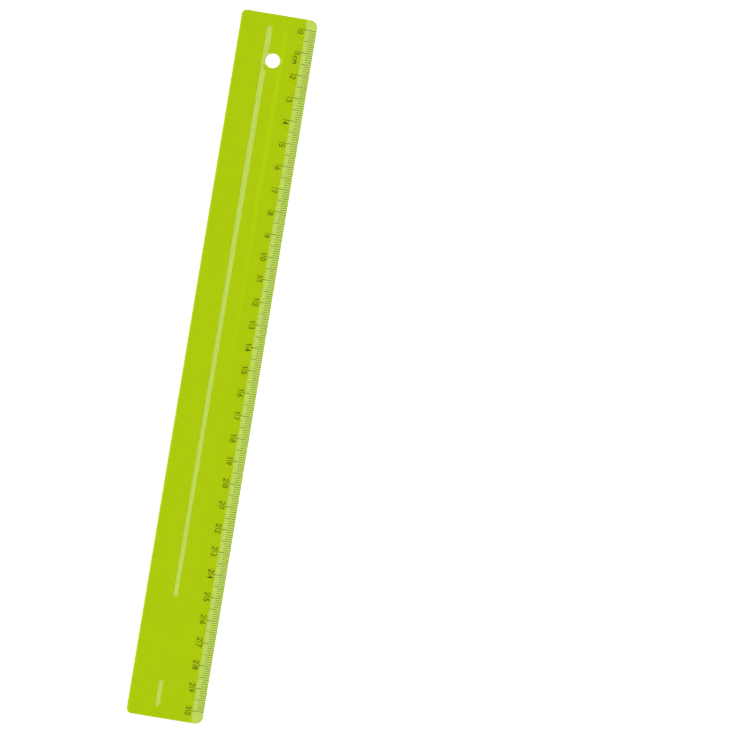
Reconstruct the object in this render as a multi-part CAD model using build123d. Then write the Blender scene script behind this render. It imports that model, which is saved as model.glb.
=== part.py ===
"""A flat 300 mm school ruler: one tinted clear moulding with a printed centimetre scale.

The ruler lies on its flat underside in the plane z = 0, centred on the origin. +X runs along
the scale from its zero end, +Y points to the bevelled edge that carries the scale, and +Z
points up out of the printed face. Sizes are in millimetres.
"""

from build123d import *

import os
from math import cos, radians, sin, tan

# Moulding
length = 310.0
width = 33.4
thickness = 2.4
scale_corner_radius = 3.0
plain_corner_radius = 2.2
edge_radius = 0.2

# Bevel along the scale edge
bevel_width = 4.95
bevel_edge_thickness = 1.0
bevel_drop = thickness - bevel_edge_thickness
bevel_slope = bevel_drop / bevel_width

# Places along and across the scale
last_centimetre = 30
zero_x = 4.6 - length / 2
edge_y = width / 2
ridge_y = edge_y - bevel_width

# Finger groove: two shallow troughs in line, with a blank land between them
groove_width = 9.5
groove_depth = 0.45
groove_side_run = 2.2
groove_end_run = 1.0
mouth_corner_radius = 1.6
floor_corner_radius = 0.8
mouth_blend_radius = 1.5
foot_blend_radius = 3.5
trough_spans = [(0.3, 252.8), (288.2, 300.8)]

# Hanging hole, in a round boss that bridges the groove and is dished towards the hole
hole_x = zero_x + 15.6
hole_radius = 3.2
boss_top_radius = 5.0
boss_foot_radius = 5.3
dish_slope = 15.0
dish_depth = (boss_top_radius - hole_radius) * tan(radians(dish_slope))
hole_chamfer = 0.2

# Printed ink: how far in from the scale edge each kind of mark starts and ends
ink_thickness = 0.03
marks_start = 0.2
millimetre_mark_end = 3.0
half_mark_end = 4.55
centimetre_mark_end = 8.1
millimetre_mark_width = 0.17
half_mark_width = 0.18
centimetre_mark_width = 0.19

# Numerals: they stand on the line where the centimetre marks end
digit_height = 2.45
digit_width = 1.45
stroke = 0.29
digit_offset = 1.35
narrow_digit_offset = 0.98
baseline_y = edge_y - centimetre_mark_end
letter_height = 1.5
letter_c_offset = 2.62
letter_m_offset = 4.48
letter_m_stem_gap = 0.74

# The centre line of a stroke keeps half a stroke inside the digit's outline
reach = (digit_width - stroke) / 2
rise = digit_height - stroke
small_bowl = 0.22 * rise
letter_rise = letter_height - stroke


def outline():
    """The plan outline, with larger corners at the scale edge."""
    plan = Rectangle(length, width)
    plan = fillet(plan.vertices().filter_by(lambda v: v.Y > 0), scale_corner_radius)
    return fillet(plan.vertices().filter_by(lambda v: v.Y < -width / 2 + 0.01), plain_corner_radius)


def beyond_bevel():
    """The space above the bevel, to cut away."""
    margin = 2.0
    outer_y = edge_y + margin
    outer_z = bevel_edge_thickness - margin * bevel_slope
    top_z = thickness + margin
    corners = [(ridge_y, thickness), (outer_y, outer_z), (outer_y, top_z), (ridge_y, top_z)]
    section = make_face(Polyline(*corners, close=True))
    return extrude(Plane.YZ.offset(-length) * section, 2 * length)


def trough(start, end):
    """One trough of the finger groove, between two readings of the scale.

    Its walls slope, and they run into its floor in a soft curve.
    """
    span = end - start
    floor_span = span - 2 * groove_end_run
    floor_width = groove_width - 2 * groove_side_run
    place = Pos(zero_x + (start + end) / 2, 0, 0)
    mouth = RectangleRounded(span, groove_width, mouth_corner_radius)
    floor = RectangleRounded(floor_span, floor_width, floor_corner_radius)
    upper = place * Pos(0, 0, thickness) * mouth
    lower = place * Pos(0, 0, thickness - groove_depth) * floor
    solid = loft([upper, lower], ruled=True)
    return fillet(solid.faces().sort_by(Axis.Z)[0].edges(), foot_blend_radius)


def cone_at_hole(low_z, low_radius, high_z, high_radius):
    """A cone on the axis of the hanging hole, between two heights."""
    cone = Cone(low_radius, high_radius, high_z - low_z)
    return Pos(hole_x, 0, (low_z + high_z) / 2) * cone


def rim_edges(blank):
    """Every edge round the underside, the top face and the bevel, apart from the bevel's ridge."""
    underside = blank.faces().sort_by(Axis.Z)[0]
    top = blank.faces().sort_by(Axis.Z)[-1]
    bevel = blank.faces().filter_by(lambda f: f.normal_at().Y > 0.1 and f.normal_at().Z > 0.1)[0]
    upper = (top.edges() + bevel.edges()).filter_by(lambda e: abs(e.center().Y - ridge_y) > 0.01)
    return underside.edges() + upper


def mouth_edges(body):
    """The edges of the top face round the mouths of the troughs."""
    top = body.faces().sort_by(Axis.Z)[-1]
    return [edge for wire in top.inner_wires() for edge in wire.edges()]


def ruler_body():
    """The whole moulding."""
    body = extrude(outline(), thickness) - beyond_bevel()
    body = fillet(rim_edges(body), edge_radius)
    for start, end in trough_spans:
        body -= trough(start, end)
    body = fillet(mouth_edges(body), mouth_blend_radius)
    body += cone_at_hole(thickness - groove_depth, boss_foot_radius, thickness, boss_top_radius)
    body -= cone_at_hole(thickness - dish_depth, hole_radius, thickness, boss_top_radius)
    body -= Pos(hole_x, 0, thickness / 2) * Cylinder(hole_radius, thickness)
    body -= cone_at_hole(0, hole_radius + hole_chamfer, hole_chamfer, hole_radius)
    return body


def mark(reading, end, mark_width):
    """One line of ink that follows the bevel, and past its ridge the top face, up to end."""
    def surface(inset):
        return min(bevel_edge_thickness + inset * bevel_slope, thickness)

    insets = [marks_start, end] if end <= bevel_width else [marks_start, bevel_width, end]
    lower = [(edge_y - inset, surface(inset)) for inset in insets]
    upper = [(y, z + ink_thickness) for y, z in reversed(lower)]
    section = make_face(Polyline(*lower, *upper, close=True))
    x = zero_x + reading - mark_width / 2
    return extrude(Plane.YZ.offset(x) * section, mark_width)


def bar(x1, y1, x2, y2):
    """A straight stroke with round ends."""
    return SlotCenterPoint(((x1 + x2) / 2, (y1 + y2) / 2), (x2, y2), stroke)


def bend(x, y, radius, start, sweep):
    """A curved stroke with round ends, about the centre x, y."""
    return SlotArc(CenterArc((x, y), radius, start, sweep), stroke)


def ring(x, y, radius_x, radius_y):
    """A closed round stroke about the centre x, y."""
    half = stroke / 2
    outer = Ellipse(radius_x + half, radius_y + half)
    inner = Ellipse(radius_x - half, radius_y - half)
    return Pos(x, y, 0) * (outer - inner)


def characters():
    """The strokes of each character, measured from the middle of its foot."""
    waist = rise - 2 * small_bowl
    big_bowl = waist / 2
    hook = 0.68 * reach
    elbow = 40
    shoulder = letter_rise - letter_m_stem_gap / 2
    six = [
        ring(0, reach, reach, reach),
        bar(-0.84 * reach, 1.54 * reach, 0.5 * reach, rise),
    ]
    return {
        "0": [ring(0, rise / 2, reach, rise / 2)],
        "1": [bar(0, 0, 0, rise), bar(0, rise, -0.6 * reach, rise - 0.5 * reach)],
        "2": [
            bend(0, rise - reach, reach, -elbow, 210),
            bar(-reach, 0, reach * cos(radians(elbow)), rise - reach - reach * sin(radians(elbow))),
            bar(-reach, 0, reach, 0),
        ],
        "3": [
            bend(0, rise - small_bowl, small_bowl, -90, 240),
            bend(0, big_bowl, big_bowl, -150, 240),
        ],
        "4": [
            bar(0.35 * reach, rise, -reach, 0.27 * rise),
            bar(-reach, 0.27 * rise, reach, 0.27 * rise),
            bar(0.35 * reach, 0, 0.35 * reach, rise),
        ],
        "5": [
            bar(-hook, rise, 0.8 * reach, rise),
            bar(-hook, rise, -hook - 0.1 * reach, waist),
            bend(-0.08 * reach, big_bowl, big_bowl, -150, 280),
        ],
        "6": six,
        "7": [bar(-reach, rise, reach, rise), bar(reach, rise, -0.4 * reach, 0)],
        "8": [
            ring(0, rise - small_bowl, small_bowl, small_bowl),
            ring(0, big_bowl, big_bowl, big_bowl),
        ],
        "9": [Pos(0, rise, 0) * Rot(0, 0, 180) * piece for piece in six],
        "c": [bend(0, letter_rise / 2, letter_rise / 2, 45, 270)],
        "m": [
            bar(-letter_m_stem_gap, 0, -letter_m_stem_gap, letter_rise),
            bar(0, 0, 0, shoulder),
            bar(letter_m_stem_gap, 0, letter_m_stem_gap, shoulder),
            bend(-letter_m_stem_gap / 2, shoulder, letter_m_stem_gap / 2, 0, 180),
            bend(letter_m_stem_gap / 2, shoulder, letter_m_stem_gap / 2, 0, 180),
        ],
    }


def printed(strokes):
    """One character as a flat solid of ink, standing on the top face's baseline at x = 0."""
    shape = extrude(Sketch() + strokes, ink_thickness)
    return Pos(0, baseline_y + stroke / 2, thickness) * shape


def numeral(reading, printed_digits):
    """The digits of a number: units just past its centimetre mark, tens just before it."""
    x = zero_x + 10 * reading
    solids = []
    for side, digit in zip((1, -1), reversed(str(reading))):
        offset = narrow_digit_offset if digit == "1" else digit_offset
        solids.append((Pos(x + side * offset, 0, 0) * printed_digits[digit]).solid())
    return solids


def save(node, solids):
    """Writes the solids of one node."""
    export_step(Compound(solids), f"parts/{node}.step")


ink = {symbol: printed(strokes) for symbol, strokes in characters().items()}
readings = range(10 * last_centimetre + 1)
whole = [r for r in readings if r % 10 == 0]
halves = [r for r in readings if r % 10 == 5]
others = [r for r in readings if r % 5]

os.makedirs("parts", exist_ok=True)
save("ruler_body", ruler_body().solids())
save("centimetre_marks", [mark(r, centimetre_mark_end, centimetre_mark_width).solid() for r in whole])
save("half_centimetre_marks", [mark(r, half_mark_end, half_mark_width).solid() for r in halves])
save("millimetre_marks", [mark(r, millimetre_mark_end, millimetre_mark_width).solid() for r in others])
save("numerals", [s for n in range(last_centimetre + 1) for s in numeral(n, ink)])
unit_x = zero_x + 10
letters = [
    (Pos(unit_x + letter_c_offset, 0, 0) * ink["c"]).solid(),
    (Pos(unit_x + letter_m_offset, 0, 0) * ink["m"]).solid(),
]
save("unit_letters", letters)
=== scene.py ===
"""Looks for a flat 300 mm ruler of tinted clear plastic with a printed centimetre scale.

Everything is in metres, in the row frame: +X runs along the scale from its zero end, +Y points
to the bevelled scale edge, and +Z up out of the printed face.
"""

import math

import bpy
from mathutils import Matrix, Vector

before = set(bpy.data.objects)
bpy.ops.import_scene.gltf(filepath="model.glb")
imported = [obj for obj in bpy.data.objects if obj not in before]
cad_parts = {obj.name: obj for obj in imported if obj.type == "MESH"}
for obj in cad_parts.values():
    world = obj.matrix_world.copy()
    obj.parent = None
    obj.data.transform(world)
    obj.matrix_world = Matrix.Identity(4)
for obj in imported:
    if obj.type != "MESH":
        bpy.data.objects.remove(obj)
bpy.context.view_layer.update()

scene = bpy.context.scene
MM = 0.001


# Shader helpers

def new_material(name):
    """An empty node material, with its tree and its output."""
    material = bpy.data.materials.new(name)
    material.use_nodes = True
    tree = material.node_tree
    tree.nodes.clear()
    return material, tree, tree.nodes.new("ShaderNodeOutputMaterial")


def add(tree, kind, **values):
    """Adds a node; each value is a number, a colour or a socket to link, by input name."""
    node = tree.nodes.new(kind)
    for key, value in values.items():
        feed(tree, node.inputs[key.replace("_", " ")], value)
    return node


def feed(tree, socket, value):
    """Links a socket to an input, or sets its value; a colour of three numbers is made opaque."""
    if isinstance(value, bpy.types.NodeSocket):
        tree.links.new(value, socket)
    elif isinstance(value, tuple) and len(socket.default_value) == len(value) + 1:
        socket.default_value = (*value, 1)
    else:
        socket.default_value = value


def sums(tree, operation, *values):
    """The result of a Math node."""
    node = tree.nodes.new("ShaderNodeMath")
    node.operation = operation
    for socket, value in zip(node.inputs, values):
        feed(tree, socket, value)
    return node.outputs[0]


def between(tree, value, start, end, low=0.0, high=1.0, interpolation="SMOOTHSTEP"):
    """Runs from low to high as value goes from start to end."""
    node = tree.nodes.new("ShaderNodeMapRange")
    node.interpolation_type = interpolation
    for name, number in (("From Min", start), ("From Max", end), ("To Min", low), ("To Max", high)):
        node.inputs[name].default_value = number
    tree.links.new(value, node.inputs["Value"])
    return node.outputs[0]


def noise(tree, size, stretch=(1, 1, 1), turn=0.0, **values):
    """Noise whose features are about size metres across, stretched and turned on the object."""
    place = tree.nodes.new("ShaderNodeTexCoord")
    mapping = add(tree, "ShaderNodeMapping", Vector=place.outputs["Object"])
    mapping.vector_type = "TEXTURE"
    mapping.inputs["Scale"].default_value = [size * s for s in stretch]
    mapping.inputs["Rotation"].default_value = (0, 0, turn)
    return add(tree, "ShaderNodeTexNoise", Vector=mapping.outputs[0], Scale=1.0, **values).outputs["Fac"]


def tinted_plastic():
    """Clear lime plastic: polished, a little wavy, with smudges and hairline scuffs.

    Most of the tint is in the surface, where light goes in and out. A little is in the volume,
    which also gives off a painted glow, a faint light of its own in place of what the dye and
    haze scatter inside, so that edges look deep green.
    """
    lime = (0.449, 0.567, 0.0072)
    clear_lime = (0.951, 0.976, 0.722)
    inner_glow = (0.8, 1.0, 0.02)
    polish, scuff_blur = (0.02, 0.05), 0.06
    material, tree, output = new_material("tinted_plastic")
    waves = noise(tree, 14 * MM, Detail=1.0)
    waviness = add(tree, "ShaderNodeBump", Height=waves, Strength=1.0, Distance=0.006 * MM)
    scuffs = [
        between(tree, noise(tree, 0.12 * MM, stretch=(40, 1, 1), turn=turn, Detail=2.0), 0.66, 0.8)
        for turn in (0.08, -0.35, 1.2)
    ]
    scuffed = sums(tree, "MAXIMUM", sums(tree, "MAXIMUM", scuffs[0], scuffs[1]), scuffs[2])
    handled = between(tree, noise(tree, 25 * MM, Detail=2.0), 0.4, 0.65)
    worn = sums(tree, "MULTIPLY", scuffed, handled)
    grooves = add(tree, "ShaderNodeBump", Height=worn, Strength=1.0, Distance=0.0006 * MM)
    grooves.invert = True
    tree.links.new(waviness.outputs[0], grooves.inputs["Normal"])
    smudges = between(tree, noise(tree, 9 * MM, Detail=4.0), 0.35, 0.7, *polish)
    shell = add(
        tree, "ShaderNodeBsdfPrincipled", IOR=1.58, Transmission_Weight=1.0,
        Base_Color=lime, Normal=grooves.outputs[0],
        Roughness=sums(tree, "ADD", smudges, sums(tree, "MULTIPLY", worn, scuff_blur)),
    )
    # the volume absorbs as the dye does, and its emission is a painted green glow, though the plastic is
    # no lamp
    dye_and_painted_glow = add(
        tree, "ShaderNodeVolumePrincipled", Density=1000.0, Color=(0, 0, 0),
        Absorption_Color=clear_lime, Emission_Color=inner_glow, Emission_Strength=6.0,
    )
    tree.links.new(shell.outputs[0], output.inputs["Surface"])
    tree.links.new(dye_and_painted_glow.outputs[0], output.inputs["Volume"])
    return material


def black_ink():
    """Thin screen-printed ink, not quite even: near black, leaning to green."""
    dense, sparse = (0.006, 0.018, 0.002), (0.018, 0.042, 0.005)
    material, tree, output = new_material("black_ink")
    grain = noise(tree, 0.09 * MM, Detail=3.0)
    shade = add(tree, "ShaderNodeMix")
    shade.data_type = "RGBA"
    feed(tree, shade.inputs["Factor"], between(tree, grain, 0.4, 0.75))
    shade_a, shade_b = [socket for socket in shade.inputs if socket.type == "RGBA"]
    feed(tree, shade_a, dense)
    feed(tree, shade_b, sparse)
    film = add(tree, "ShaderNodeBump", Height=grain, Strength=1.0, Distance=0.004 * MM)
    ink = add(
        tree, "ShaderNodeBsdfPrincipled", Base_Color=shade.outputs[2], Normal=film.outputs[0],
        Roughness=between(tree, grain, 0.3, 0.7, 0.45, 0.7), Specular_IOR_Level=0.2,
    )
    tree.links.new(ink.outputs[0], output.inputs["Surface"])
    return material


def dress(name, material):
    """Gives a CAD piece its material."""
    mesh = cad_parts[name].data
    mesh.materials.clear()
    mesh.materials.append(material)


plastic, ink = tinted_plastic(), black_ink()
dress("ruler_body", plastic)
printed = ("centimetre_marks", "half_centimetre_marks", "millimetre_marks", "numerals", "unit_letters")
for name in printed:
    dress(name, ink)


# Floor: white card a hair below the ruler

def card_floor():
    """A pure white ground without a shadow: the card gives off light as well as reflecting it."""
    reach, z = 3.0, -0.05 * MM
    mesh = bpy.data.meshes.new("floor")
    corners = [(-reach, -reach, z), (reach, -reach, z), (reach, reach, z), (-reach, reach, z)]
    mesh.from_pydata(corners, [], [(0, 1, 2, 3)])
    floor = bpy.data.objects.new("floor", mesh)
    scene.collection.objects.link(floor)
    material, tree, output = new_material("card")
    card = add(
        tree, "ShaderNodeBsdfPrincipled", Roughness=0.9, Base_Color=(0.9, 0.9, 0.9),
        Emission_Color=(1, 1, 1), Emission_Strength=0.75,
    )
    tree.links.new(card.outputs[0], output.inputs["Surface"])
    mesh.materials.append(material)


card_floor()


# Light

def studio_dome():
    """Soft walls of light low down, a panel towards the scale edge, and a dark ceiling.

    The panel is what the slopes that face it mirror. Its near edge is set askew, closer to
    overhead at the scale's zero end. Angles are in degrees: height from straight up, and
    bearing from +Y towards +X.
    """
    walls, panel, gloom = 0.8, 2.1, 0.02
    panel_bearing = 4.0
    world = bpy.data.worlds.new("studio")
    world.use_nodes = True
    tree = world.node_tree
    place = tree.nodes.new("ShaderNodeTexCoord")
    split = add(tree, "ShaderNodeSeparateXYZ", Vector=place.outputs["Generated"])
    x, y, z = split.outputs
    height = sums(tree, "MULTIPLY", sums(tree, "ARCCOSINE", z), math.degrees(1))
    bearing = sums(tree, "MULTIPLY", sums(tree, "ARCTAN2", x, y), math.degrees(1))
    off_axis = sums(tree, "ABSOLUTE", sums(tree, "SUBTRACT", bearing, panel_bearing))
    near_edge = between(tree, bearing, -30, 30, 5.5, 14)
    past_edge = sums(tree, "SUBTRACT", height, near_edge)
    belt = sums(tree, "MULTIPLY", between(tree, past_edge, 0, 7), between(tree, height, 38, 46, 1, 0))
    sides = between(tree, off_axis, 40, 60, 1, 0)
    lit_panel = sums(tree, "MULTIPLY", sums(tree, "MULTIPLY", belt, panel), sides)
    light = sums(tree, "MAXIMUM", lit_panel, between(tree, height, 43, 51, gloom, walls))
    tree.links.new(light, tree.nodes["Background"].inputs["Strength"])
    tree.nodes["Background"].inputs["Color"].default_value = (1, 1, 1, 1)
    return world


scene.world = studio_dome()
scene.view_settings.view_transform = "Standard"

# Light under clear plastic is lost if reflections are blurred, and light that enters an edge is
# reflected many times inside before it comes out
bounces = 40
scene.cycles.blur_glossy = 0
scene.cycles.max_bounces = bounces
scene.cycles.glossy_bounces = bounces
scene.cycles.transmission_bounces = bounces


# Camera: straight down, with the ruler leaning in the picture

lean = math.radians(9.41)
camera_data = bpy.data.cameras.new("camera")
camera_data.lens = 200
camera_data.sensor_width = 36
camera_data.clip_end = 10
camera = bpy.data.objects.new("camera", camera_data)
scene.collection.objects.link(camera)
right = Vector((-math.sin(lean), math.cos(lean), 0))
up = Vector((-math.cos(lean), -math.sin(lean), 0))
back = right.cross(up)
view_side = 326.33 * MM
distance = view_side * camera_data.lens / camera_data.sensor_width
over_x, over_y = -7.38 * MM, 66.12 * MM
place = Vector((over_x, over_y, distance))
camera.matrix_world = Matrix.Translation(place) @ Matrix((right, up, back)).transposed().to_4x4()
scene.camera = camera
